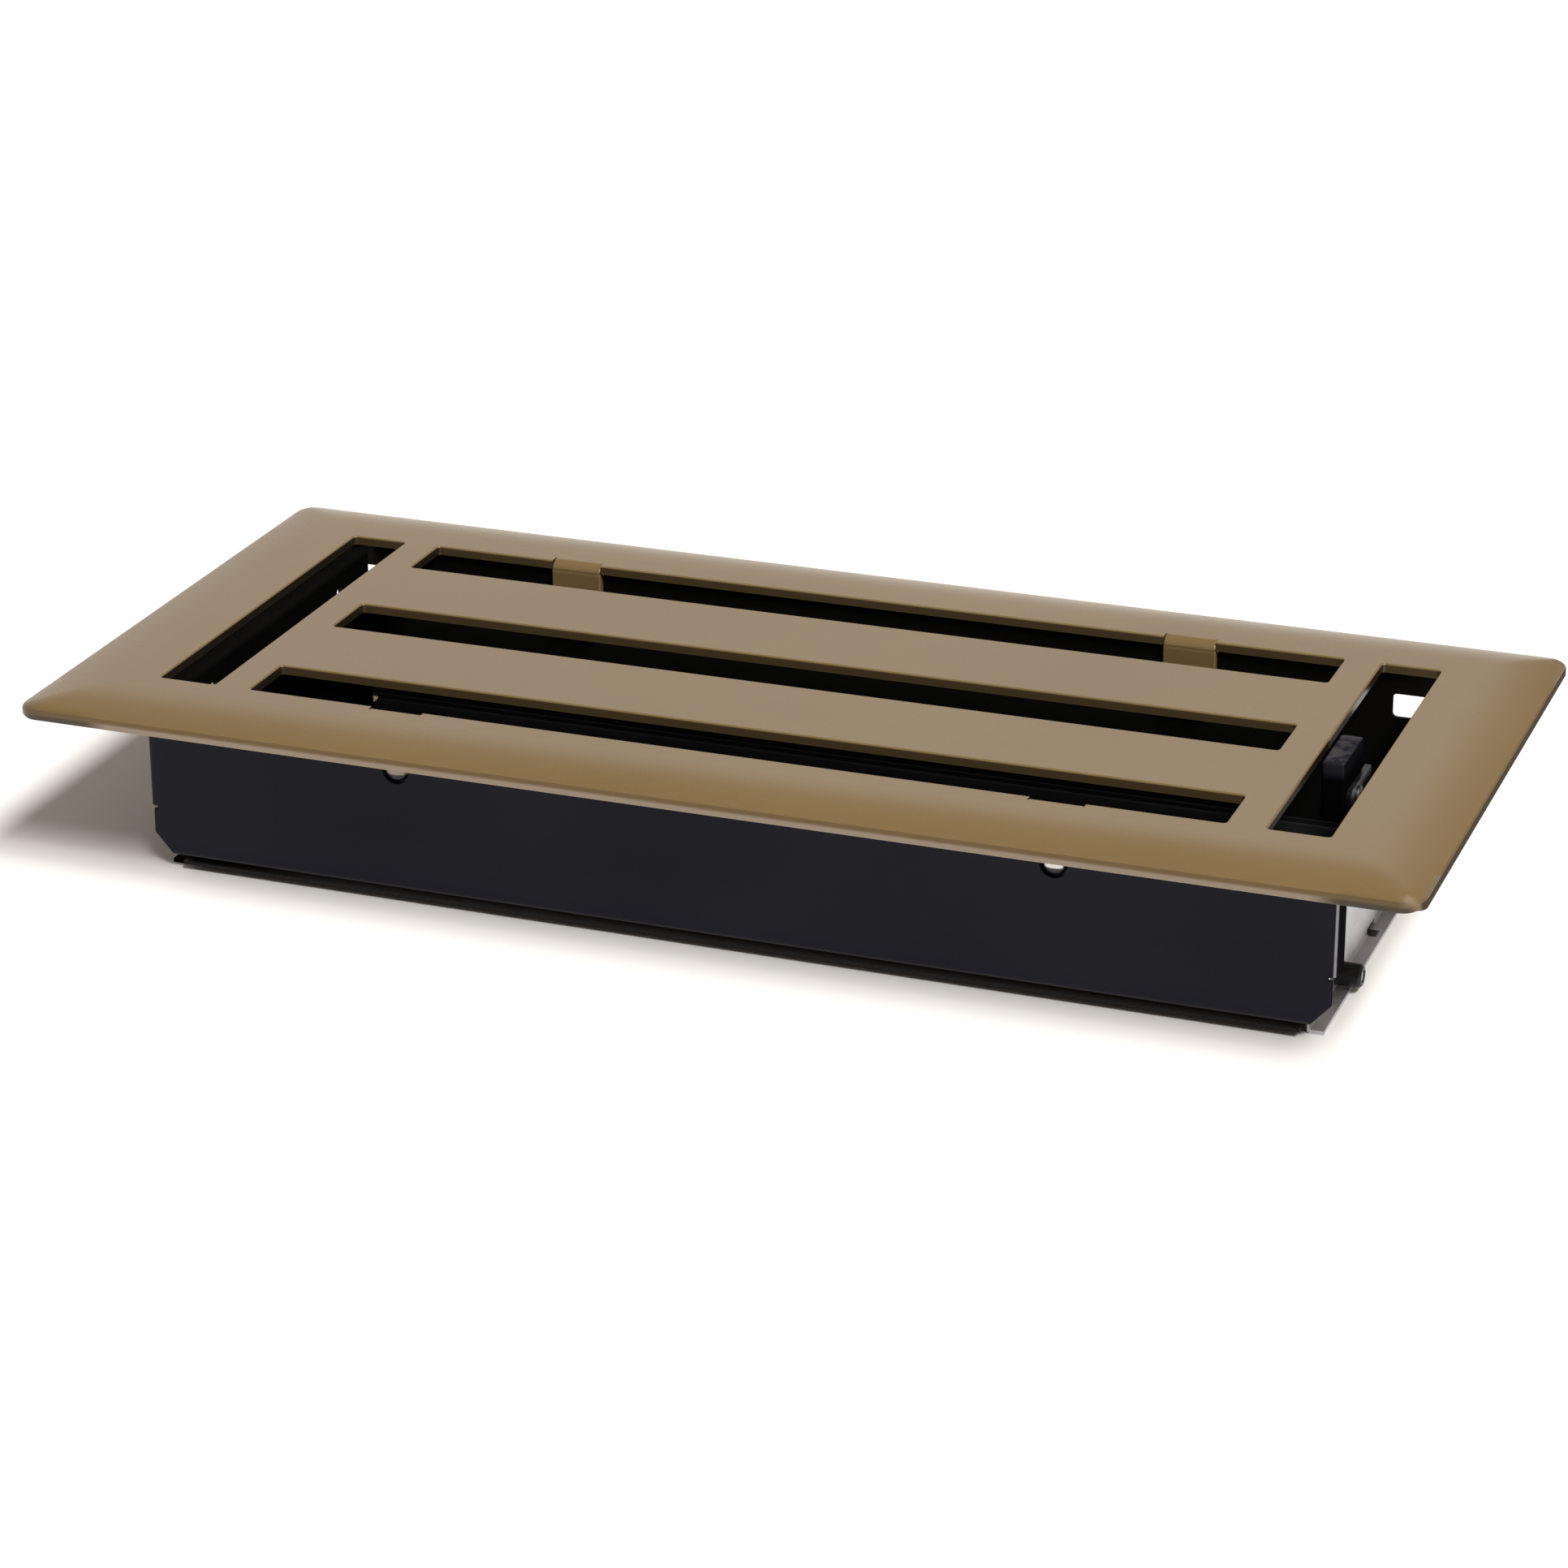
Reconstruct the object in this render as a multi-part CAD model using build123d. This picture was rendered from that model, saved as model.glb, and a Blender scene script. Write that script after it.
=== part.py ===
from build123d import *
import os
from math import cos, radians, sin, sqrt

# Floor register standing on its damper box, damper shut.
# Millimetres. X runs along the register, Y across it, Z up from the surface it stands on.
# The origin is under the middle of the faceplate.

# Faceplate
overall_height = 41.5      # standing surface to the flat top of the faceplate
plate_length = 289.0
plate_width = 133.6
plate_sheet = 1.9
rim_width = 14.8           # border that rolls down
rim_drop = 2.25            # fall of the top surface across that border
plate_corner = 4.5
edge_roll = 1.0            # rolled upper edge of the rim
edge_slope = 22.0          # slope of the dressed corners, steeper than the rim's edge
edge_rise = 1.0            # height that the corners are dressed to
trim_allowance = 2.0       # sheet beyond the edge before it is trimmed

# Slots in the faceplate
end_border = 22.4          # end of the plate to the slot pattern
side_border = 20.7         # side of the plate to the slot pattern
long_slot_width = 14.4
end_slot_width = 12.3
slot_web = 7.9             # metal between an end slot and the long slots
slot_corner = 0.8
slot_edge_round = 0.4      # rolled-over top edges of the slots

# Snap tabs bent down from the outer slots
tab_spacing = 138.0
tab_width = 11.3
tab_reach = 16.0           # plate top to the end of the tab
tab_bend = 0.6             # inside radius
tab_end_corner = 2.0
tab_edge_round = 0.4       # rolled-over side edges of the tab
tab_root = 1.8             # flat part of the tab's strip inside the plate
dimple_width = 5.4
dimple_depth = 12.4        # plate top to the dimple's middle
dimple_proud = 0.6         # how far it stands out of the wall

# Long walls of the box
wall_outset = 2.2          # slot pattern to the long wall's outside
corner_outset = 2.8        # slot pattern to the outside of the corner return
wall_sheet = 0.9
wall_lift = 3.4            # standing surface to the wall's lower edge
wall_bend = 1.3            # outside radius
return_depth = 6.0
return_end = 27.7          # plate top to the lower end of the corner return
relief_height = 0.8
relief_depth = 0.8
lower_inset = 0.8          # lower part of the wall's end, in from the corner return
cut_length = 4.0           # cut-off lower corners
cut_height = 4.5
window_inset = 4.4         # corner return to the window
window_length = 8.5
window_top = 6.8           # plate top to the window
window_height = 5.2
window_corner = 1.0
notch_height = 0.9         # notch in the wall's top edge over a tab's bend
notch_play = 0.1
snap_play = 0.2            # room round the dimple in its hole
wall_edge_round = 0.4      # rounded lower edge

# End walls of the box
end_sheet = 0.8
end_inset = 5.6            # corner return to the end wall's outside
end_edge_gap = 2.6         # long wall to the end wall's edge, away from the side flange
end_gap = 0.3              # plate to the top of the left end wall
seat_gap = 0.3             # top flange of the left end wall to the corner return
side_flange = 4.0
side_top = 13.0            # plate top to the upper end of the side flange
side_bottom = 33.0
foot_flange = 2.9          # foot beyond the end wall's face
end_bend = 0.5             # inside radius
slit_length = 6.1
slit_height = 1.3
slit_middle = 4.5
peep_length = 4.6
peep_height = 1.8
peep_inset = 13.7          # edge of the end wall to the hole's middle
peep_depth = 7.3           # plate top to the hole's middle
lever_end_drop = 9.6       # plate top to the low top edge of the right end wall
lever_end_corner = 3.0

# Damper
pivot_height = 3.5
pin_radius = 1.25
pin_seat = 22.0            # pin length inside the blade
pin_stand = 5.0            # pin beyond the end wall
pin_chamfer = 0.3
running_play = 0.05
bush_radius = 2.4
bush_stand = 5.2           # bush beyond the end wall
bush_chamfer = 0.5
collar_radius = 2.75
collar_length = 0.8
blade_sheet = 0.7
blade_drop = 0.1           # pivot to the blade's top face
blade_edge_gap = 0.4       # far blade's edge to the wall
blade_overlap = 1.0
lip_width = 3.3
lip_drop = 1.3
lip_slope = 1.0
lip_bend = 0.7
back_rise = 1.5            # upturned back edge of a blade
blade_end_gap = 0.4
blade_notch = 3.2
ear_inset = 2.9            # end wall to the outside of the crank ear
ear_side = 2.4             # pivot to where the back half is cut short
ear_radius = 3.0
crank_radius = 8.0
crank_angle = 45.0         # from the blade, with the damper shut

# Link, lever and their rivets
link_sheet = 1.0
link_gap = 0.3
link_half_height = 3.0
rivet_radius = 1.2
rivet_head = 2.2
rivet_head_height = 0.7
tongue_start = -8.0
tongue_stop = 8.7
tongue_top = 6.6           # plate top to the tongue's upper edge
tongue_corner = 1.5
lever_start = -10.2
lever_stop = 5.4
lever_inset = 10.8         # outer edge of the slot to the lever's inner face
lever_height = 12.5
lever_round = 0.6
lever_sink = 2.2           # lever's inner face to the rivet head's seat
lever_rivet_y = -2.4
lever_rivet_depth = 9.4

# Heights and faces that follow from the values above
plate_under = overall_height - plate_sheet
pattern_x = plate_length / 2 - end_border
pattern_y = plate_width / 2 - side_border
long_slot_half = pattern_x - end_slot_width - slot_web
long_slot_pitch = pattern_y - long_slot_width / 2
box_end = pattern_x + corner_outset
wall_face = pattern_y + wall_outset
wall_inside = wall_face - wall_sheet
end_face = box_end - end_inset
end_inside = end_face - end_sheet
end_half = wall_inside - end_edge_gap
pivot_half = (wall_inside - blade_edge_gap) / 2
blade_back = pivot_half
blade_front = pivot_half + blade_overlap
pin_end = end_face + pin_stand
bush_end = end_face + bush_stand
ear_face = end_inside - ear_inset
link_face = ear_face + link_gap
lever_inner = pattern_x - lever_inset
reach = 2 * plate_length   # longer than anything that is cut
crank_y = crank_radius * cos(radians(crank_angle))
crank_z = crank_radius * sin(radians(crank_angle))


def rod(radius, start, stop, y, z):
    """Cylinder along X from start to stop."""
    return Pos((start + stop) / 2, y, z) * Rot(0, 90, 0) * Cylinder(radius, stop - start)


def block(x0, x1, y0, y1, z0, z1):
    """Box between two corners."""
    middle = Pos((x0 + x1) / 2, (y0 + y1) / 2, (z0 + z1) / 2)
    return middle * Box(x1 - x0, y1 - y0, z1 - z0)


def sheet_strip(points, bend, thickness, plane):
    """Section of a bent sheet whose middle line runs through the points."""
    return plane * trace(FilletPolyline(*points, radius=bend), line_width=thickness)


def crowned_block(half, plane, half_run):
    """Bar with a flat top whose two long edges roll down, cut oversize for trimming."""
    flat = half - rim_width
    edge = half + trim_allowance
    roll_radius = (rim_width ** 2 + rim_drop ** 2) / (2 * rim_drop)
    edge_z = sqrt(roll_radius ** 2 - (edge - flat) ** 2) - roll_radius
    base = edge_z - 2 * plate_sheet
    outline = [
        Line((-flat, 0), (flat, 0)),
        TangentArc((flat, 0), (edge, edge_z), tangent=(1, 0)),
        Polyline((edge, edge_z), (edge, base), (-edge, base), (-edge, edge_z)),
        TangentArc((-flat, 0), (-edge, edge_z), tangent=(-1, 0)),
    ]
    section = plane * make_face(outline)
    return extrude(section, amount=half_run + trim_allowance, both=True)


def trimmed_block():
    """Block with the plate's outline and the rim's rolled upper edge."""
    outline = RectangleRounded(plate_length, plate_width, plate_corner)
    slope = extrude(outline, edge_rise, taper=90 - edge_slope)
    block_top = extrude(slope.faces().sort_by(Axis.Z)[-1], overall_height)
    trimmed = extrude(outline, -overall_height) + slope + block_top
    edge = trimmed.edges().filter_by_position(Axis.Z, -edge_rise / 2, edge_rise / 2)
    return Pos(0, 0, -rim_drop) * fillet(edge, edge_roll)


def snap_tab():
    """Far right tab with its dimple, in place."""
    face = wall_inside - plate_sheet / 2
    start = wall_inside + tab_bend + tab_root
    root_z = overall_height - plate_sheet / 2
    bends = [(start, root_z), (face, root_z), (face, overall_height - tab_reach)]
    path = Plane.YZ * FilletPolyline(*bends, radius=tab_bend + plate_sheet / 2)
    strip = Rectangle(tab_width, plate_sheet)
    strip = fillet(strip.vertices().group_by(Axis.Y)[-1], tab_edge_round)
    root = Plane((0, start, root_z), x_dir=(1, 0, 0), z_dir=(0, -1, 0))
    tab = sweep(root * strip, path)
    outline = Pos(0, overall_height) * RectangleRounded(tab_width, 2 * tab_reach, tab_end_corner)
    tab = tab & extrude(Plane.XZ * outline, amount=reach, both=True)
    dome_height = wall_sheet + dimple_proud
    dome_radius = ((dimple_width / 2) ** 2 + dome_height ** 2) / (2 * dome_height)
    dome_y = wall_face + dimple_proud - dome_radius
    dome = Pos(0, dome_y, overall_height - dimple_depth) * Sphere(dome_radius)
    dome = dome & block(-tab_width, tab_width, face, reach, 0, overall_height)
    hollow = Pos(0, -plate_sheet, 0) * dome
    tab = tab + dome - hollow
    return Pos(tab_spacing / 2, 0, 0) * tab


def make_faceplate():
    along = crowned_block(plate_length / 2, Plane.XZ, plate_width / 2)
    across = crowned_block(plate_width / 2, Plane.YZ, plate_length / 2)
    crown = along & across
    shell = (crown & trimmed_block()) - Pos(0, 0, -plate_sheet) * crown
    plate = Pos(0, 0, overall_height) * shell
    long_slot = extrude(RectangleRounded(2 * long_slot_half, long_slot_width, slot_corner), reach)
    for row in (-1, 0, 1):
        plate -= Pos(0, row * long_slot_pitch, 0) * long_slot
    end_slot = extrude(RectangleRounded(end_slot_width, 2 * pattern_y, slot_corner), reach)
    for side in (-1, 1):
        plate -= Pos(side * (pattern_x - end_slot_width / 2), 0, 0) * end_slot
    top = plate.faces().filter_by(Plane.XY).sort_by(Axis.Z)[-1]
    plate = fillet(top.inner_wires().edges(), slot_edge_round)
    tab = snap_tab()
    room = block(-tab_width / 2, tab_width / 2, wall_inside - plate_sheet, wall_inside + tab_bend, 0, reach)
    room = Pos(tab_spacing / 2, 0, 0) * room
    for flip in (room, mirror(room, Plane.YZ)):
        plate -= [flip, mirror(flip, Plane.XZ)]
    for flip in (tab, mirror(tab, Plane.YZ)):
        plate += [flip, mirror(flip, Plane.XZ)]
    return plate


def make_far_wall():
    """Long wall on the +Y side."""
    bend_line = box_end - wall_bend
    return_low = overall_height - return_end
    relief_low = return_low - relief_height
    lower_end = box_end - lower_inset
    right = [
        (bend_line, plate_under),
        (bend_line, return_low),
        (lower_end - relief_depth, return_low),
        (lower_end - relief_depth, relief_low),
        (lower_end, relief_low),
        (lower_end, wall_lift + cut_height),
        (lower_end - cut_length, wall_lift),
    ]
    left = [(-x, z) for x, z in reversed(right)]
    panel = Plane.XZ.offset(-wall_face) * make_face(Polyline(*right, *left, close=True))
    wall = extrude(panel, amount=wall_sheet)
    lower = wall.edges().filter_by(Axis.X).group_by(Axis.Z)[0].sort_by(Axis.Y)[-1]
    wall = fillet(lower, wall_edge_round)
    middle = wall_face - wall_sheet / 2
    corner_path = [
        (bend_line - wall_bend, middle),
        (box_end - wall_sheet / 2, middle),
        (box_end - wall_sheet / 2, wall_face - return_depth),
    ]
    corner = sheet_strip(corner_path, wall_bend - wall_sheet / 2, wall_sheet, Plane.XY)
    corner = Pos(0, 0, return_low) * extrude(corner, amount=plate_under - return_low, dir=(0, 0, 1))
    wall += [corner, mirror(corner, Plane.YZ)]
    window = RectangleRounded(window_length, window_height, window_corner)
    window = extrude(Plane.XZ * window, amount=reach, both=True)
    window_x = box_end - window_inset - window_length / 2
    window_z = overall_height - window_top - window_height / 2
    snap = Rot(90, 0, 0) * Cylinder(dimple_width / 2 + snap_play, reach)
    notch = Box(tab_width + 2 * notch_play, reach, 2 * notch_height)
    for side in (-1, 1):
        wall -= Pos(side * window_x, 0, window_z) * window
        tab_x = side * tab_spacing / 2
        wall -= Pos(tab_x, 0, overall_height - dimple_depth) * snap
        wall -= Pos(tab_x, 0, plate_under) * notch
    return wall


def make_end_wall(lever_end):
    """End wall on the +X side: low at the lever end, else bent out under the plate."""
    middle = end_face - end_sheet / 2
    path = [
        (end_face + foot_flange, end_sheet / 2),
        (middle, end_sheet / 2),
    ]
    if lever_end:
        path += [(middle, overall_height - lever_end_drop)]
    else:
        seat = plate_under - end_gap - end_sheet / 2
        path += [(middle, seat), (box_end - wall_sheet - seat_gap, seat)]
    middle_bend = end_bend + end_sheet / 2
    wall = extrude(sheet_strip(path, middle_bend, end_sheet, Plane.XZ), amount=end_half, both=True)
    if lever_end:
        wall = fillet(wall.edges().filter_by(Axis.X).group_by(Axis.Z)[-1], lever_end_corner)
    side_path = [
        (middle, end_half - end_sheet),
        (middle, wall_inside - end_sheet / 2),
        (end_face + side_flange, wall_inside - end_sheet / 2),
    ]
    flange = sheet_strip(side_path, middle_bend, end_sheet, Plane.XY)
    flange = extrude(flange, amount=side_bottom - side_top, dir=(0, 0, 1))
    flange = Pos(0, 0, overall_height - side_bottom) * flange
    wall += [flange, mirror(flange, Plane.XZ)]
    slit_near = slit_middle - slit_length / 2
    slit_far = slit_middle + slit_length / 2
    wall -= block(0, end_face + end_bend, slit_near, slit_far, end_sheet, end_sheet + slit_height)
    peep_y = end_half - peep_inset
    peep = extrude(Plane.YZ * SlotOverall(peep_length, peep_height), amount=reach)
    for side in (-1, 1):
        wall -= rod(bush_radius, 0, reach, side * pivot_half, pivot_height)
        if not lever_end:
            wall -= Pos(0, side * peep_y, overall_height - peep_depth) * peep
    return wall


def make_bush(y):
    """Bush on the +X side."""
    bush = rod(bush_radius, end_inside, bush_end, y, pivot_height)
    bush = chamfer(bush.edges().filter_by(GeomType.CIRCLE).sort_by(Axis.X)[-1], bush_chamfer)
    bush += rod(collar_radius, end_inside - collar_length, end_inside, y, pivot_height)
    return bush - rod(pin_radius + running_play, 0, reach, y, pivot_height)


def make_pin(y):
    """Pivot pin on the +X side."""
    inner = end_inside - collar_length - pin_seat
    pin = rod(pin_radius, inner, pin_end, y, pivot_height)
    return chamfer(pin.edges().filter_by(GeomType.CIRCLE).sort_by(Axis.X)[-1], pin_chamfer)


def make_blade(y):
    """Blade with its pivot at y; the front half has the lip, the back half the crank ear."""
    middle = -blade_drop - blade_sheet / 2
    path = [
        (-blade_front, middle - lip_drop),
        (-blade_front + lip_width, middle - lip_drop),
        (-blade_front + lip_width + lip_slope, middle),
        (blade_back - blade_sheet / 2, middle),
        (blade_back - blade_sheet / 2, middle + back_rise),
    ]
    bead_top = Pos(0, reach / 2 - blade_drop - blade_sheet) * Rectangle(reach, reach)
    section = sheet_strip(path, lip_bend, blade_sheet, Plane.XY)
    section += Circle(pin_radius + blade_sheet) & bead_top
    section -= Circle(pin_radius)
    blade_half = end_inside - blade_end_gap
    blade = extrude(Plane.YZ * section, amount=blade_half, both=True)
    bead_end = end_inside - collar_length - blade_end_gap
    for side in (-1, 1):
        room = block(bead_end, reach, -blade_notch, blade_notch, -crank_radius, crank_radius)
        blade -= room if side > 0 else mirror(room, Plane.YZ)
    blade -= block(ear_face, reach, ear_side, reach, -crank_radius, crank_radius)
    ear = Pos(crank_y, crank_z) * Circle(ear_radius)
    ear_low = -blade_drop - blade_sheet
    ear += Pos(crank_y, (crank_z + ear_low) / 2) * Rectangle(2 * ear_radius, crank_z - ear_low)
    ear -= Pos(crank_y, crank_z) * Circle(rivet_radius + running_play)
    blade += Pos(ear_face - blade_sheet, 0, 0) * extrude(Plane.YZ * ear, amount=blade_sheet)
    return Pos(0, y, pivot_height) * blade


def make_link():
    """Link bar with the tongue that carries the lever."""
    near = -pivot_half + crank_y
    far = pivot_half + crank_y
    height = pivot_height + crank_z
    bar = Pos((near + far) / 2, height) * SlotCenterToCenter(far - near, 2 * link_half_height)
    tongue_z = overall_height - tongue_top
    tongue = Pos((tongue_start + tongue_stop) / 2, (height + tongue_z) / 2) * Rectangle(
        tongue_stop - tongue_start, tongue_z - height
    )
    tongue = fillet(tongue.vertices().group_by(Axis.Y)[-1], tongue_corner)
    shape = bar + tongue
    for y in (near, far):
        shape -= Pos(y, height) * Circle(rivet_radius)
    shape -= Pos(lever_rivet_y, overall_height - lever_rivet_depth) * Circle(rivet_radius)
    return Pos(link_face, 0, 0) * extrude(Plane.YZ * shape, amount=link_sheet)


def make_rivet(inner_face, outer_face, y, z):
    """Rivet along X with a head on each outside face."""
    head = rivet_head_height
    rivet = rod(rivet_radius, inner_face - head, outer_face + head, y, z)
    outer_head = rod(rivet_head, outer_face, outer_face + head, y, z)
    inner_head = rod(rivet_head, inner_face - head, inner_face, y, z)
    outer_head = fillet(outer_head.edges().filter_by(GeomType.CIRCLE).sort_by(Axis.X)[-1], head / 2)
    inner_head = fillet(inner_head.edges().filter_by(GeomType.CIRCLE).sort_by(Axis.X)[0], head / 2)
    return rivet + outer_head + inner_head


def make_lever():
    top = overall_height
    lever = block(lever_inner, link_face, lever_start, lever_stop, top - lever_height, top)
    lever = fillet(lever.edges(), lever_round)
    z = top - lever_rivet_depth
    sink = lever_inner + lever_sink
    lever -= rod(rivet_head + running_play, 0, sink, lever_rivet_y, z)
    return lever - rod(rivet_radius, 0, reach, lever_rivet_y, z)


far_wall = make_far_wall()
rivet_inside = ear_face - blade_sheet - link_gap
crank_height = pivot_height + crank_z
lever_rivet_z = overall_height - lever_rivet_depth
link_outside = link_face + link_sheet
nodes = {
    "faceplate": make_faceplate(),
    "near_side_wall": mirror(far_wall, Plane.XZ),
    "far_side_wall": far_wall,
    "left_end_wall": mirror(make_end_wall(lever_end=False), Plane.YZ),
    "right_end_wall": make_end_wall(lever_end=True),
    "near_blade": make_blade(-pivot_half),
    "far_blade": make_blade(pivot_half),
    "link_bar": make_link(),
    "thumb_lever": make_lever(),
    "near_link_rivet": make_rivet(rivet_inside, link_outside, crank_y - pivot_half, crank_height),
    "far_link_rivet": make_rivet(rivet_inside, link_outside, crank_y + pivot_half, crank_height),
    "lever_rivet": make_rivet(lever_inner + lever_sink, link_outside, lever_rivet_y, lever_rivet_z),
}
for row, y in (("near", -pivot_half), ("far", pivot_half)):
    nodes[f"{row}_right_bush"] = make_bush(y)
    nodes[f"{row}_left_bush"] = mirror(make_bush(y), Plane.YZ)
    nodes[f"{row}_right_pin"] = make_pin(y)
    nodes[f"{row}_left_pin"] = mirror(make_pin(y), Plane.YZ)

os.makedirs("parts", exist_ok=True)
for name, shape in nodes.items():
    export_step(shape, f"parts/{name}.step")
    size = shape.bounding_box().size
    print(f"{name}: {size.X:.2f} x {size.Y:.2f} x {size.Z:.2f} mm, {len(shape.solids())} solid")
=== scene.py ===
from math import radians

import bpy
from mathutils import Matrix, Vector


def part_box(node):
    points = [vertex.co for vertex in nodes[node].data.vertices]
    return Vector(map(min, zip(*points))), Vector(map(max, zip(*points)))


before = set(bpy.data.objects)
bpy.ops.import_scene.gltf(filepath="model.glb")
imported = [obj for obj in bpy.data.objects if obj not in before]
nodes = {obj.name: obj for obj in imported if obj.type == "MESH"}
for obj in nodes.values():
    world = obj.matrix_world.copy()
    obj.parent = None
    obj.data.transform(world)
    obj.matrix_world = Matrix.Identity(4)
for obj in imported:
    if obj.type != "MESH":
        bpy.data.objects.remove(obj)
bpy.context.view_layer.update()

mm = 0.001
print("register loaded:", len(nodes), "pieces")


# A socket that can be written in plain sums
class Wire:
    def __init__(self, sheet, node, output=0):
        self.sheet = sheet
        self.node = node
        self.output = output

    def other(self, output):  # another socket of the same node
        return Wire(self.sheet, self.node, output)

    def __add__(self, other):
        return self.sheet.math("ADD", self, other)

    def __radd__(self, other):
        return self.sheet.math("ADD", other, self)

    def __sub__(self, other):
        return self.sheet.math("SUBTRACT", self, other)

    def __rsub__(self, other):
        return self.sheet.math("SUBTRACT", other, self)

    def __mul__(self, other):
        return self.sheet.math("MULTIPLY", self, other)

    def __rmul__(self, other):
        return self.sheet.math("MULTIPLY", other, self)

    def __abs__(self):
        return self.sheet.math("ABSOLUTE", self)


# A node sheet, for a finish or for the studio's surround
class Sheet:
    def __init__(self, owner):
        owner.use_nodes = True
        self.tree = owner.node_tree
        self.tree.nodes.clear()

    def add(self, kind, settings=None, sockets=None, output=0):
        node = self.tree.nodes.new(kind)
        for key, value in (settings or {}).items():
            setattr(node, key, value)
        for key, value in (sockets or {}).items():
            self.plug(node.inputs[key], value)
        return Wire(self, node, output)

    def plug(self, socket, value):
        if isinstance(value, Wire):
            self.tree.links.new(value.node.outputs[value.output], socket)
        elif value is not None:
            socket.default_value = value

    def math(self, operation, first, second=None):
        return self.add("ShaderNodeMath", {"operation": operation}, {0: first, 1: second})

    def larger(self, first, second):
        return self.math("MAXIMUM", first, second)

    def split(self, vector):
        parts = self.add("ShaderNodeSeparateXYZ", sockets={0: vector})
        return [parts.other(axis) for axis in "XYZ"]

    def band(self, value, low, high):  # 0 below low, 1 above high
        settings = {"interpolation_type": "SMOOTHSTEP"}
        sockets = {"Value": value, "From Min": low, "From Max": high}
        return self.add("ShaderNodeMapRange", settings, sockets)

    def past(self, value, start, blend):  # 0 up to start, 1 once a blend beyond it
        return self.band(value, start, start + blend)

    def mix(self, factor, first, second):  # of two colours, sockets 6 and 7
        sockets = {0: factor, 6: first, 7: second}
        return self.add("ShaderNodeMix", {"data_type": "RGBA"}, sockets, output=2)

    def mixTurns(self, factor, first, second):  # of two directions, sockets 4 and 5
        sockets = {0: factor, 4: first, 5: second}
        return self.add("ShaderNodeMix", {"data_type": "VECTOR"}, sockets, output=1)


# One finish, on the principled shader
class Finish(Sheet):
    def __init__(self, name):
        self.material = bpy.data.materials.new(name)
        super().__init__(self.material)
        self.shader = self.add("ShaderNodeBsdfPrincipled")
        self.add("ShaderNodeOutputMaterial", sockets={"Surface": self.shader})
        self.place = self.add("ShaderNodeTexCoord", output="Object")
        self.x, self.y, self.z = self.split(self.place)
        self.facing = self.add("ShaderNodeNewGeometry", output="Normal")
        self.nx, self.ny, self.nz = self.split(self.facing)

    def noise(self, scale, detail=3, stretch=None):  # scale in waves per metre
        place = self.place
        if stretch:
            place = self.add("ShaderNodeVectorMath", {"operation": "MULTIPLY"}, {0: place, 1: stretch})
        sockets = {"Vector": place, "Scale": scale, "Detail": detail}
        return self.add("ShaderNodeTexNoise", sockets=sockets)

    def bump(self, height, distance, normal=None):
        sockets = {"Distance": distance, "Height": height, "Normal": normal}
        return self.add("ShaderNodeBump", sockets=sockets)

    def finish(self, sockets):
        for name, value in sockets.items():
            self.plug(self.shader.node.inputs[name], value)
        return self.material


def stray(middle, amount, noise):  # a value that strays about its middle
    return middle + amount * (noise - 0.5)


smoothUnder = radians(40)  # edges sharper than this stay crisp


def dress(material, *names):
    for name in names:
        mesh = nodes[name].data
        mesh.materials.clear()
        mesh.materials.append(material)
        mesh.shade_smooth()
        mesh.set_sharp_from_angle(angle=smoothUnder)


# In the looks below, a slope is the upward part of a face's normal, a turn its part along the register,
# and two numbers are where a change starts and where it is complete

# Long walls: satin charcoal paint, rubbed bright along the corner bends; painted light on the corner
# returns and along the lowest edge, painted shade on the inner faces
wallLook = {
    "name": "charcoal wall paint",
    "paint": (0.0060, 0.0062, 0.0137, 1),
    "paintThin": (0.0078, 0.0080, 0.0158, 1),
    "patch": 18,
    "patches": (0.4, 0.7),  # noise from the thick paint to the thin
    "returns": (0.0105, 0.0100, 0.0125, 1),  # corners, bent in: a lighter copy of the paint, painted light in place of the gloss left off them
    "returnTurn": (0.75, 0.95),
    # inner faces: a darker copy of the paint, painted shade inside the box
    "inside": (0.0036, 0.0032, 0.0029, 1),
    "inward": (10 * mm, 30 * mm),  # from the middle of the box to a face that looks back at it
    # a lighter line along the walls' lowest edge, a painted highlight
    "lowEdgeHighlight": (0.030, 0.028, 0.031, 1),
    "lowEdgeTop": 0.2 * mm,
    "lowEdgeBlend": 0.6 * mm,
    "rubbed": (0.27, 0.27, 0.29, 1),
    "rub": 1.0,  # how far the bends are rubbed
    "rubFrom": (0, 50 * mm),  # middle of the wall towards the lever end
    "rubNoise": 240,
    "rubStretch": (1, 1, 0.3),
    "rubs": (0.25, 0.5),
    "bendStart": (0.45, 0.60),  # turns
    "bendEnd": (0.80, 0.92),
    "bendSlope": (0.1, 0.3),
    "shine": 0.28,  # weight of the clear top of the paint
    "shineLeast": 0.8,
    "shinePatch": 0.4,
    "roughness": 0.46,
    "clouding": 0.08,  # how far the roughness strays
    "cloud": 70,
    "peel": 900,
    "peelDepth": 0.010 * mm,
}

# Left end wall: the same paint, dead matt, and made blacker as painted shade under the plate
endPaintLook = dict(wallLook, name="matt end paint with painted shade", rub=0.0, shine=0.05, roughness=0.6)
endPaintLook.update(paint=(0.0024, 0.0023, 0.0022, 1), paintThin=(0.0034, 0.0032, 0.0030, 1))


def rubBends(f, look):
    bend = f.band(abs(f.nx), *look["bendStart"]) * (1 - f.band(abs(f.nx), *look["bendEnd"]))
    bend = bend * (1 - f.band(abs(f.nz), *look["bendSlope"])) * f.band(f.x, *look["rubFrom"])
    scuffs = f.noise(look["rubNoise"], stretch=look["rubStretch"])
    return look["rub"] * bend * f.band(scuffs, *look["rubs"])


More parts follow.
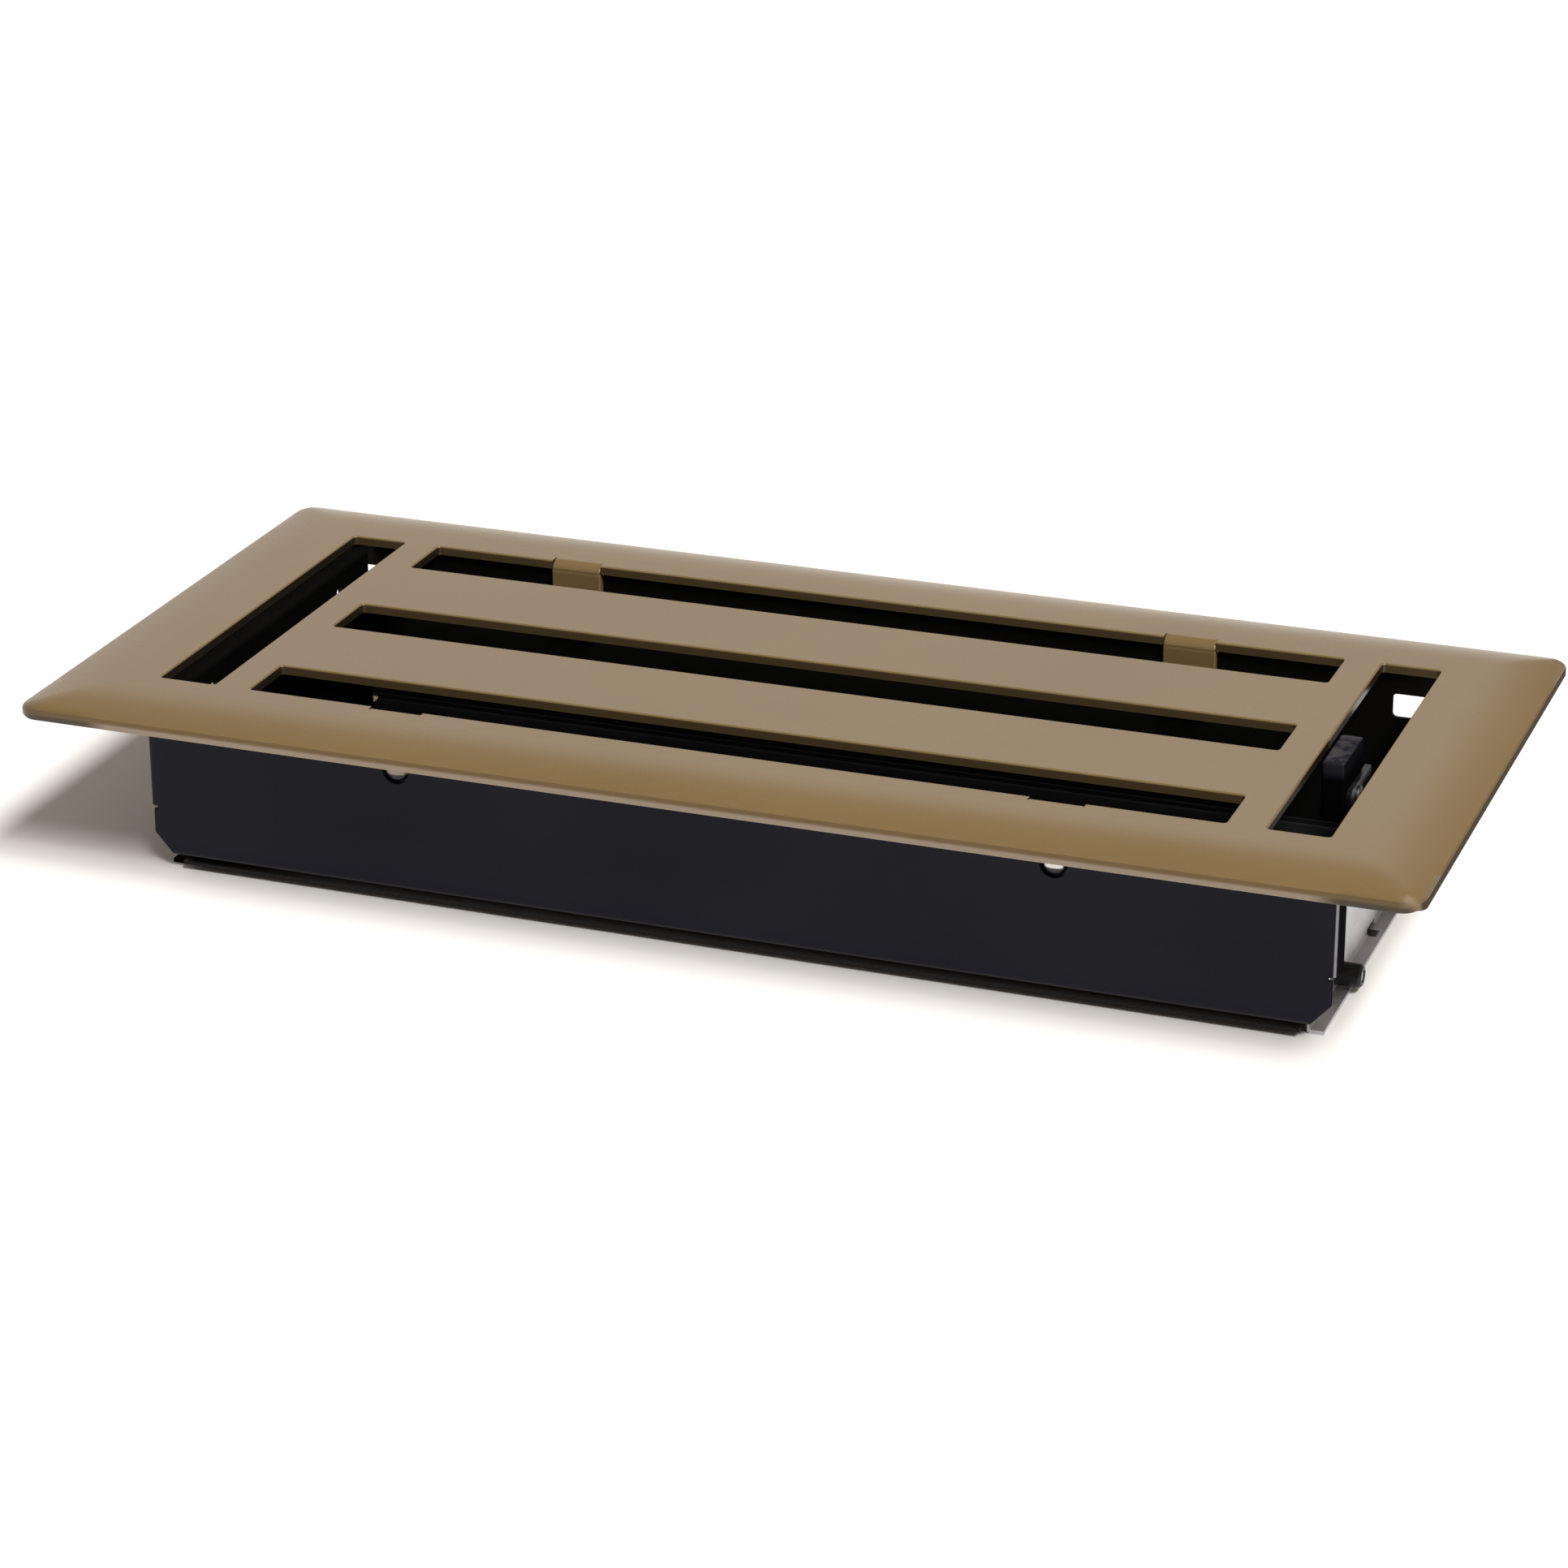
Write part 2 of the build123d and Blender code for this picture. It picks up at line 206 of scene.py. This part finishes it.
def makeBoxPaint(look):
    f = Finish(look["name"])
    patch = f.noise(look["patch"], detail=4)
    color = f.mix(f.band(patch, *look["patches"]), look["paint"], look["paintThin"])
    onFace = 1 - f.band(abs(f.nx), *look["returnTurn"])  # dead matt on the corner returns
    sockets = {
        "Roughness": stray(look["roughness"], look["clouding"], f.noise(look["cloud"])),
        "Specular IOR Level": 0.0,
        "Coat Weight": look["shine"] * onFace * (look["shineLeast"] + look["shinePatch"] * patch),
        "Coat Roughness": look["roughness"],
        "Normal": f.bump(f.noise(look["peel"], detail=2), look["peelDepth"]),
    }
    if look["rub"]:
        inward = f.band(0 - f.y * f.ny, *look["inward"])
        # painted light: the corner returns get a lighter copy of the paint; painted shade: faces
        # looking back into the box get a darker one
        color = f.mix(inward, f.mix(onFace, look["returns"], color), look["inside"])
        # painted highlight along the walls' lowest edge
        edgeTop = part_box("near_side_wall")[0].z + look["lowEdgeTop"]
        color = f.mix(f.past(f.z, edgeTop, look["lowEdgeBlend"]), look["lowEdgeHighlight"], color)
        rubbed = rubBends(f, look)
        color = f.mix(rubbed, color, look["rubbed"])
        sockets["Metallic"] = rubbed
    sockets["Base Color"] = color
    return f.finish(sockets)


# Faceplate: satin brass-coloured coating, with painted shade on the rolled rim, the slot walls, the
# dimples' lower part and the sheared edge at the ends, and a painted highlight along the sheared edge
# beside the walls
plateLook = {
    "coat": (0.170, 0.112, 0.046, 1),
    "coatDeep": (0.154, 0.101, 0.041, 1),
    "shades": (0.38, 0.66),  # noise from the deep coat to the lighter one
    "drift": 11,
    "peel": 1300,
    "peelShare": 0.25,  # of the peel in the shade, beside the slow drift
    "peelDepth": 0.004 * mm,
    "tint": (1.0, 0.92, 0.80, 1),  # of the gloss
    "roughness": 0.28,
    "clouding": 0.05,
    "cloud": 60,
    # rolled rim, its sloped part painted darker as shade
    "roll": (0.112, 0.075, 0.034, 1),
    "rollWidth": 1.2 * mm,
    "rollBlend": 0.9 * mm,
    "rollSlope": (0.90, 0.955),
    "edge": (0.235, 0.185, 0.135, 1),  # sheared edge along the walls, drawn pale as a painted highlight
    "edgeDark": (0.045, 0.034, 0.021, 1),  # the same edge at the ends and corners, drawn dark as painted shade
    "edgeTop": 3.35 * mm,  # below the plate's top
    "edgeBlend": 0.6 * mm,
    "edgeSlope": (-0.5, 0.1),
    "endSlope": (0.35, 0.60),
    "endTilt": ((0.5, 0.5, 0), (0, 0, 0.87)),  # turns the end's edge up, as if rounded over
    "darkFrom": 2 * mm,  # before the walls' ends
    "darkBlend": 6 * mm,
    "cornerBlend": 6 * mm,
    "cornerRound": 5 * mm,  # how widely the rolled rims run into each other at a corner
    "cornerSamples": 6,
    # slots, their walls painted darker as shade
    "slot": (0.062, 0.042, 0.019, 1),
    "slotLeft": (0.017, 0.012, 0.008, 1),  # left walls, painted darker still as shade
    "slotLeftTurn": (0.5, 0.9),
    "slotSlope": (0.2, 0.5),
    "slotDepth": 2.0 * mm,
    "slotBlend": 0.2 * mm,
    "slotPast": 1 * mm,  # the walls' ends
    # dimples on the tabs
    "snap": (0.66, 0.65, 0.64, 1),  # rubbed to metal
    "snapGloss": 0.06,
    "snapDepth": 0.2 * mm,  # inside the walls' outer faces
    "snapBlend": 0.3 * mm,
    "leftSnap": 0.3,  # how far the left dimples are rubbed, as a share of the right ones
    "leftToRight": (-1 * mm, 1 * mm),
    "holeDepth": 1.3 * mm,  # inside the walls' outer faces
    "holeBlend": 0.4 * mm,
    "tabFrom": 3 * mm,  # below the walls' top
    "tabBlend": 1 * mm,
    "dimpleShadeDepth": 13.3 * mm,  # plate top to where the dimples' lower part is painted in the wall paint's colour, as painted shade
    "dimpleShadeBlend": 0.4 * mm,
}
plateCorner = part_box("faceplate")[1]  # far right, at the top
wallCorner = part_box("far_side_wall")[1]


def coatRim(f, look, color):
    atEnds = f.past(abs(f.x), plateCorner.x - look["rollWidth"], look["rollBlend"])
    atSides = f.past(abs(f.y), plateCorner.y - look["rollWidth"], look["rollBlend"])
    # painted shade on the rim's sloped part
    rolled = f.larger(atEnds, atSides) * (1 - f.band(f.nz, *look["rollSlope"]))
    color = f.mix(rolled, color, look["roll"])
    sheared = f.band(f.nz, *look["edgeSlope"])
    endEdge = atEnds * sheared * (1 - f.band(f.nz, *look["endSlope"]))
    sideEdge = atSides * sheared * (1 - f.past(f.z, plateCorner.z - look["edgeTop"], look["edgeBlend"]))
    # painted shade on the sheared edge towards the ends, painted highlight along the walls
    dark = f.past(abs(f.x), wallCorner.x - look["darkFrom"], look["darkBlend"])
    edgeColor = f.mix(dark, look["edge"], look["edgeDark"])
    return f.mix(f.larger(endEdge, sideEdge), color, edgeColor), endEdge


def coatSlots(f, look, color):
    inSlot = 1 - f.band(abs(f.nz), *look["slotSlope"])
    inSlot = inSlot * f.past(f.z, plateCorner.z - look["slotDepth"], look["slotBlend"])
    inSlot = inSlot * (1 - f.past(abs(f.x), wallCorner.x, look["slotPast"]))
    slotColor = f.mix(f.band(f.nx, *look["slotLeftTurn"]), look["slot"], look["slotLeft"])
    return f.mix(inSlot, color, slotColor)


def coatDimples(f, look, color):
    onRight = f.band(f.x, *look["leftToRight"])
    onTab = 1 - f.past(f.z, wallCorner.z - look["tabFrom"], look["tabBlend"])
    inHole = onTab * f.past(abs(f.y), wallCorner.y - look["holeDepth"], look["holeBlend"])
    # painted shade: the right dimples' ring in the wall's hole takes the wall paint's colour
    color = f.mix(inHole * onRight, color, wallLook["paint"])
    rubbed = onTab * f.past(abs(f.y), wallCorner.y - look["snapDepth"], look["snapBlend"])
    rubbed = rubbed * (look["leftSnap"] + (1 - look["leftSnap"]) * onRight)
    color = f.mix(rubbed, color, look["snap"])
    # painted shade: the dimples' lower part takes the wall paint's colour
    shadedDimple = inHole * (1 - f.past(f.z, plateCorner.z - look["dimpleShadeDepth"], look["dimpleShadeBlend"]))
    return f.mix(shadedDimple, color, wallLook["paint"]), rubbed * (1 - shadedDimple)


def roundRim(f, look, endEdge):
    inCorner = f.past(abs(f.x), wallCorner.x, look["cornerBlend"])
    inCorner = inCorner * f.past(abs(f.y), wallCorner.y, look["cornerBlend"])
    settings = {"samples": look["cornerSamples"]}
    rounded = f.add("ShaderNodeBevel", settings, {"Radius": look["cornerRound"]})
    share, lift = look["endTilt"]
    sockets = {0: f.facing, 1: share, 2: lift}
    tilted = f.add("ShaderNodeVectorMath", {"operation": "MULTIPLY_ADD"}, sockets)
    return f.mixTurns(endEdge, f.mixTurns(inCorner, f.facing, rounded), tilted)


def makePlateCoating(look):
    f = Finish("satin brass coating")
    peel = f.noise(look["peel"], detail=2)
    shade = f.noise(look["drift"]) * (1 - look["peelShare"]) + peel * look["peelShare"]
    color = f.mix(f.band(shade, *look["shades"]), look["coatDeep"], look["coat"])
    color, endEdge = coatRim(f, look, color)
    color = coatSlots(f, look, color)
    color, rubbed = coatDimples(f, look, color)
    roughness = stray(look["roughness"], look["clouding"], f.noise(look["cloud"]))
    return f.finish({
        "Base Color": color,
        "Metallic": rubbed,
        "Roughness": roughness - look["snapGloss"] * rubbed,
        "Specular Tint": look["tint"],
        "Normal": f.bump(peel, look["peelDepth"], roundRim(f, look, endEdge)),
    })


# Right end wall: galvanised sheet, its inside sprayed dark with the rest of the box, with painted shade
# round the slit over its foot
zincLook = {
    "light": (0.66, 0.66, 0.69, 1),
    "dark": (0.48, 0.48, 0.51, 1),
    "spangle": 170,  # zinc crystals per metre
    "fine": 420,
    "fineShare": 0.3,  # of the fine grain in the shade, beside the crystals
    "fineDepth": 0.006 * mm,
    "metallic": 0.85,
    "roughness": 0.42,
    "clouding": 0.10,
    "overspray": (0.0075, 0.0073, 0.0090, 1),
    "oversprayDepth": 0.35 * mm,  # from the inner face into the sheet
    "oversprayBlend": 0.1 * mm,
    "oversprayMatt": 0.10,
    "stain": (0.018, 0.018, 0.020, 1),  # painted shade round the slit over the foot
    "slitShadeMiddle": 2.95 * mm,  # across the register, from its middle
    "slitShadeHalf": 1.5 * mm,
    "slitShadeHalfBlend": 0.3 * mm,
    "slitShadeTop": 2.0 * mm,
    "slitShadeTopBlend": 0.4 * mm,
    "slitShadeFrom": 2.4 * mm,  # inside the foot's tip, so that the foot keeps its zinc colour
    "slitShadeBlend": 0.5 * mm,
}


def makeGalvanisedSheet(look):
    f = Finish("galvanised sheet")
    low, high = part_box("right_end_wall")
    sockets = {"Vector": f.place, "Scale": look["spangle"]}
    crystal = f.split(f.add("ShaderNodeTexVoronoi", sockets=sockets, output="Color"))[0]
    fine = f.noise(look["fine"])
    shade = crystal * (1 - look["fineShare"]) + fine * look["fineShare"]
    zinc = f.mix(shade, look["dark"], look["light"])
    inside = 1 - f.past(f.x, low.x + look["oversprayDepth"], look["oversprayBlend"])
    # painted shade round the slit over the foot
    slitShade = 1 - f.past(abs(f.y - look["slitShadeMiddle"]), look["slitShadeHalf"], look["slitShadeHalfBlend"])
    slitShade = slitShade * (1 - f.past(f.x, high.x - look["slitShadeFrom"], look["slitShadeBlend"]))
    slitShade = slitShade * (1 - f.past(f.z, look["slitShadeTop"], look["slitShadeTopBlend"]))
    zinc = f.mix(slitShade, zinc, look["stain"])
    roughness = stray(look["roughness"], look["clouding"], crystal)
    return f.finish({
        "Base Color": f.mix(inside, zinc, look["overspray"]),
        "Metallic": look["metallic"] * (1 - f.larger(inside, slitShade)),
        "Roughness": roughness + look["oversprayMatt"] * inside,
        "Normal": f.bump(fine, look["fineDepth"]),
    })


# Damper blades: satin black
bladeLook = {
    "paint": (0.0045, 0.0045, 0.0048, 1),
    "rubbed": (0.009, 0.009, 0.009, 1),
    "patch": 25,
    "patchStretch": (0.3, 1, 1),  # long patches, along the blade
    "patches": (0.45, 0.75),
    "specular": 0.2,
    "roughness": 0.5,
    "clouding": 0.1,
    "cloud": 90,
    "peel": 800,
    "peelDepth": 0.008 * mm,
}


def makeBladePaint(look):
    f = Finish("black blade paint")
    patch = f.noise(look["patch"], detail=4, stretch=look["patchStretch"])
    return f.finish({
        "Base Color": f.mix(f.band(patch, *look["patches"]), look["paint"], look["rubbed"]),
        "Roughness": stray(look["roughness"], look["clouding"], f.noise(look["cloud"])),
        "Specular IOR Level": look["specular"],
        "Normal": f.bump(f.noise(look["peel"], detail=2), look["peelDepth"]),
    })


# Thumb lever: spark-textured charcoal plastic, worn on its top, with painted shade lower down in the
# slot and on its side facing the tongue
leverLook = {
    "plastic": (0.0145, 0.0142, 0.0195, 1),
    "low": (0.0015, 0.0015, 0.0018, 1),  # painted shade, lower down in the slot
    "leverShadeFrom": 4 * mm,  # below the lever's top
    "leverShadeBlend": 2.8 * mm,
    "tongueTurn": (0.5, 0.9),
    "tongueSideShade": 0.8,  # share of painted shade on the side facing the tongue
    "worn": (0.033, 0.032, 0.034, 1),
    "wornFrom": 1.2 * mm,
    "wornNoise": 300,
    "wornPatches": (0.35, 0.6),
    "wornSlope": (0.5, 0.8),
    "wornShine": 0.2,
    "shineRoughness": 0.4,
    "wornGloss": 0.08,
    "roughness": 0.6,
    "spark": 2600,
    "sparkDepth": 0.02 * mm,
}


def makeLeverPlastic(look):
    f = Finish("charcoal lever plastic")
    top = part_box("thumb_lever")[1].z
    worn = f.past(f.z, top - look["wornFrom"], look["wornFrom"])
    worn = worn * f.band(f.noise(look["wornNoise"]), *look["wornPatches"])
    worn = worn * f.band(f.nz, *look["wornSlope"])
    # painted shade lower down and on the side facing the tongue
    outOfShade = f.past(f.z, top - look["leverShadeFrom"], look["leverShadeBlend"])
    outOfShade = outOfShade * (1 - look["tongueSideShade"] * f.band(f.nx, *look["tongueTurn"]))
    color = f.mix(outOfShade, look["low"], look["plastic"])
    return f.finish({
        "Base Color": f.mix(worn, color, look["worn"]),
        "Roughness": look["roughness"] - look["wornGloss"] * worn,
        "Specular IOR Level": 0.0,
        "Coat Weight": look["wornShine"] * worn,
        "Coat Roughness": look["shineRoughness"],
        "Normal": f.bump(f.noise(look["spark"]), look["sparkDepth"]),
    })


# Link bar and lever rivet: black zinc plate that shines dimly where it is bare
linkLook = {
    "zinc": (0.024, 0.024, 0.027, 1),
    "bare": (0.11, 0.11, 0.12, 1),
    "cloud": 120,
    "bares": (0.52, 0.72),
    "metallic": 0.9,
    "roughness": 0.36,
    "clouding": 0.15,
    "grain": 500,
    "grainStretch": (1, 0.05, 1),  # rolling marks along the bar
    "grainDepth": 0.004 * mm,
}


def makeBlackZinc(look):
    f = Finish("black zinc plate")
    cloud = f.noise(look["cloud"], detail=4)
    grain = f.noise(look["grain"], detail=2, stretch=look["grainStretch"])
    return f.finish({
        "Base Color": f.mix(f.band(cloud, *look["bares"]), look["zinc"], look["bare"]),
        "Metallic": look["metallic"],
        "Roughness": stray(look["roughness"], look["clouding"], cloud),
        "Normal": f.bump(grain, look["grainDepth"]),
    })


# Pins and the link's two pivot rivets: plain steel with turning marks
steelLook = {
    "steel": (0.56, 0.55, 0.53, 1),
    "stain": (0.36, 0.34, 0.32, 1),
    "stainNoise": 260,
    "stains": (0.5, 0.75),
    "stainMatt": 0.18,
    "roughness": 0.28,
    "rings": 3000,
    "ringStretch": (1, 0.02, 0.02),  # round the pin
    "ringDepth": 0.003 * mm,
}


def makePlainSteel(look):
    f = Finish("plain turned steel")
    stain = f.band(f.noise(look["stainNoise"]), *look["stains"])
    rings = f.noise(look["rings"], detail=1, stretch=look["ringStretch"])
    return f.finish({
        "Base Color": f.mix(stain, look["steel"], look["stain"]),
        "Metallic": 1.0,
        "Roughness": look["roughness"] + look["stainMatt"] * stain,
        "Normal": f.bump(rings, look["ringDepth"]),
    })


# Pivot bushes: black nylon
bushLook = {
    "nylon": (0.007, 0.007, 0.008, 1),
    "scuffed": (0.018, 0.018, 0.019, 1),
    "scuff": 500,
    "scuffs": (0.5, 0.7),
    "scuffMatt": 0.15,
    "specular": 0.3,
    "roughness": 0.34,
    "grain": 1500,
    "grainDepth": 0.006 * mm,
}


def makeBushNylon(look):
    f = Finish("black bush nylon")
    scuff = f.band(f.noise(look["scuff"]), *look["scuffs"])
    return f.finish({
        "Base Color": f.mix(scuff, look["nylon"], look["scuffed"]),
        "Roughness": look["roughness"] + look["scuffMatt"] * scuff,
        "Specular IOR Level": look["specular"],
        "Normal": f.bump(f.noise(look["grain"], detail=2), look["grainDepth"]),
    })


dress(makePlateCoating(plateLook), "faceplate")
dress(makeBoxPaint(wallLook), "near_side_wall", "far_side_wall")
dress(makeBoxPaint(endPaintLook), "left_end_wall")
dress(makeGalvanisedSheet(zincLook), "right_end_wall")
dress(makeBladePaint(bladeLook), "near_blade", "far_blade")
dress(makeLeverPlastic(leverLook), "thumb_lever")
dress(makeBlackZinc(linkLook), "link_bar", "lever_rivet")
steel = makePlainSteel(steelLook)
nylon = makeBushNylon(bushLook)
dress(steel, "near_link_rivet", "far_link_rivet")
for row in ("near", "far"):
    for side in ("left", "right"):
        dress(nylon, f"{row}_{side}_bush")
        dress(steel, f"{row}_{side}_pin")
print("finishes on:", len(bpy.data.materials), "materials")


# Floor: pale and matt
floorLook = {
    "half": 6.0,
    "color": (0.875, 0.855, 0.835, 1),
    "roughness": 0.8,
}


def makeFloor(look):
    half = look["half"]
    corners = [(-half, -half, 0), (half, -half, 0), (half, half, 0), (-half, half, 0)]
    mesh = bpy.data.meshes.new("floor")
    mesh.from_pydata(corners, [], [(0, 1, 2, 3)])
    floor = bpy.data.objects.new("floor", mesh)
    bpy.context.scene.collection.objects.link(floor)
    f = Finish("pale floor")
    mesh.materials.append(f.finish({
        "Base Color": look["color"],
        "Roughness": look["roughness"],
        "Specular IOR Level": 0.0,
    }))


# Studio: surround bright low at the back and the left, a soft key from the front right
studioLook = {
    "bright": 1.10,
    "white": (1, 1, 1, 1),
    "dim": 0.24,
    "dimColor": (1.0, 0.84, 0.70, 1),  # light thrown back by warm walls
    "backFrom": (-0.2, 0.3),  # where the bright part starts and ends, as parts of a direction
    "rightEnd": (-0.16, 0.06),
    "topEnd": (0.50, 0.68),
    "lowEnd": (0.22, 0.46),
    "lowLoss": 0.39,  # share of it lost close to the floor
    "keyToward": (0.59, -0.47, 1.0),
    "keyLean": (-0.22, 0.0, 0.22),  # the key is a strip of lamps, front to back
    "keyPower": 4.42,
    "keySpread": 14,  # degrees across one lamp, seen from the register
}


def makeSurround(look):
    world = bpy.data.worlds.new("studio")
    s = Sheet(world)
    across, back, height = s.split(s.add("ShaderNodeTexCoord", output="Generated"))
    lit = s.band(back, *look["backFrom"]) * (1 - s.band(height, *look["topEnd"]))
    lit = lit * (1 - s.band(across, *look["rightEnd"]))
    lit = lit * (1 - look["lowLoss"] * (1 - s.band(height, *look["lowEnd"])))
    strength = look["dim"] + (look["bright"] - look["dim"]) * lit
    color = s.mix(lit, look["dimColor"], look["white"])
    sky = s.add("ShaderNodeBackground", sockets={"Color": color, "Strength": strength})
    s.add("ShaderNodeOutputWorld", sockets={"Surface": sky})
    bpy.context.scene.world = world


def makeKey(look):
    lamp = bpy.data.lights.new("soft key", "SUN")
    lamp.energy = look["keyPower"] / len(look["keyLean"])
    lamp.angle = radians(look["keySpread"])
    for lean in look["keyLean"]:
        key = bpy.data.objects.new("soft key", lamp)
        key.location = Vector(look["keyToward"]) + Vector((0, lean, 0))
        key.rotation_euler = (-key.location).to_track_quat("-Z", "Y").to_euler()
        bpy.context.scene.collection.objects.link(key)


# Camera: level, a little to the right of the register and above it
cameraLook = {
    "place": (301.44 * mm, -818.50 * mm, 376.79 * mm),
    "forward": (-0.32309, 0.86623, -0.38113),
    "right": (0.93740, 0.34824, -0.00319),
    "focalPixels": 5650,
    "photoPixels": 1932,
    "sensor": 36,  # in the lens's own millimetres
    "nearest": 10 * mm,
}


def makeCamera(look):
    lens = bpy.data.cameras.new("camera")
    lens.sensor_width = look["sensor"]
    lens.lens = look["focalPixels"] / look["photoPixels"] * look["sensor"]
    lens.clip_start = look["nearest"]
    camera = bpy.data.objects.new("camera", lens)
    forward = Vector(look["forward"]).normalized()
    up = Vector(look["right"]).cross(forward).normalized()
    right = forward.cross(up)
    turn = Matrix((right, up, -forward)).transposed().to_4x4()
    camera.matrix_world = Matrix.Translation(look["place"]) @ turn
    bpy.context.scene.collection.objects.link(camera)
    bpy.context.scene.camera = camera


makeFloor(floorLook)
makeSurround(studioLook)
makeKey(studioLook)
makeCamera(cameraLook)
bpy.context.scene.view_settings.view_transform = "Standard"
print("floor, studio and camera set")
